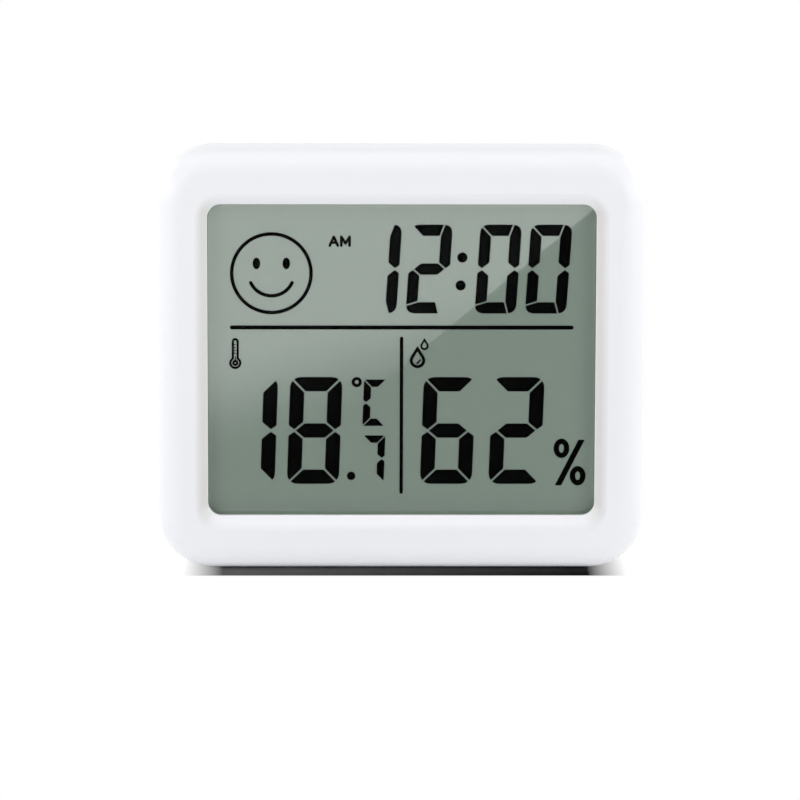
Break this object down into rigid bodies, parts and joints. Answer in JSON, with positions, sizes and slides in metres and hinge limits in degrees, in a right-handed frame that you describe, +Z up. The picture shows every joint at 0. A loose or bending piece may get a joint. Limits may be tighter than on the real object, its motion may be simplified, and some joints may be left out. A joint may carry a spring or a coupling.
{
  "type": "temperature humidity sensor",
  "caption": "Slim white desk or wall temperature and humidity sensor with a recessed reflective segment display, fold-out stand, rear keys and a button cell under a twist cover.",
  "frame": {"origin": "bottom centre of the bounding box: on the surface the unit stands on, at the middle of its width and depth", "axes": "+X to the right as seen from the display side, +Y from the display to the rear cover, +Z up"},
  "size_m": [0.08, 0.01, 0.07],
  "materials": {
    "case_white": "satin",
    "window_clear": "polished",
    "display_glass": "polished",
    "polariser_film": "polished",
    "reflector_grey_green": "satin",
    "segment_black": "matte",
    "foam_black": "matte",
    "seal_resin": "satin",
    "connector_rubber": "matte",
    "board_green": "satin",
    "resin_black": "satin",
    "bright_metal": "bright",
    "capacitor_tan": "satin",
    "sensor_white": "matte",
    "sensor_film": "satin",
    "cell_steel": "bright",
    "cell_gasket": "matte",
    "cell_core": "matte",
    "screw_steel": "satin"
  },
  "bodies": {
    "case": {"board_screws": "screw_steel", "case_screws": "screw_steel", "chip_capacitors": "capacitor_tan", "chip_resistors": "resin_black", "circuit_board": "board_green", "clock_crystal": "bright_metal", "coin_cell_can": "cell_steel", "coin_cell_cap": "cell_steel", "coin_cell_core": "cell_core", "coin_cell_gasket": "cell_gasket", "controller_cap": "resin_black", "display_window": "window_clear", "front_bezel": "case_white", "humidity_element": "sensor_film", "humidity_segments": "segment_black", "humidity_sensor_cage": "sensor_white", "icon_segments": "segment_black", "lcd_front_glass": "display_glass", "lcd_front_polariser": "polariser_film", "lcd_rear_glass": "display_glass", "lcd_reflector": "reflector_grey_green", "lcd_seal": "seal_resin", "lcd_support_foam": "foam_black", "negative_contact": "bright_metal", "positive_contact": "bright_metal", "rear_case": "case_white", "tact_switches": "bright_metal", "temperature_segments": "segment_black", "thermistor": "resin_black", "time_segments": "segment_black", "window_gasket": "foam_black", "zebra_strip": "connector_rubber"},
    "stand_leg": {"stand": "case_white"},
    "battery_cover": {"battery_door": "case_white"},
    "up_key": {"up_button": "case_white", "up_plunger": "resin_black"},
    "mode_key": {"mode_button": "case_white", "mode_plunger": "resin_black"},
    "down_key": {"down_button": "case_white", "down_plunger": "resin_black"}
  },
  "joints": [
    {"name": "stand_hinge", "type": "hinge", "parent": "case", "child": "stand_leg", "pos_m": [0, 0.004, 0.05042], "axis": [1, 0, 0], "range_deg": [0, 40]},
    {"name": "battery_cover_twist", "type": "hinge", "parent": "case", "child": "battery_cover", "pos_m": [0.025, 0.004, 0.04], "axis": [0, 1, 0], "range_deg": [0, 45]},
    {"name": "up_key_press", "type": "slide", "parent": "case", "child": "up_key", "axis": [0, -1, 0], "range_m": [0, 0.00025], "stiffness_N_per_m": 1000},
    {"name": "mode_key_press", "type": "slide", "parent": "case", "child": "mode_key", "axis": [0, -1, 0], "range_m": [0, 0.00025], "stiffness_N_per_m": 1000},
    {"name": "down_key_press", "type": "slide", "parent": "case", "child": "down_key", "axis": [0, -1, 0], "range_m": [0, 0.00025], "stiffness_N_per_m": 1000}
  ]
}
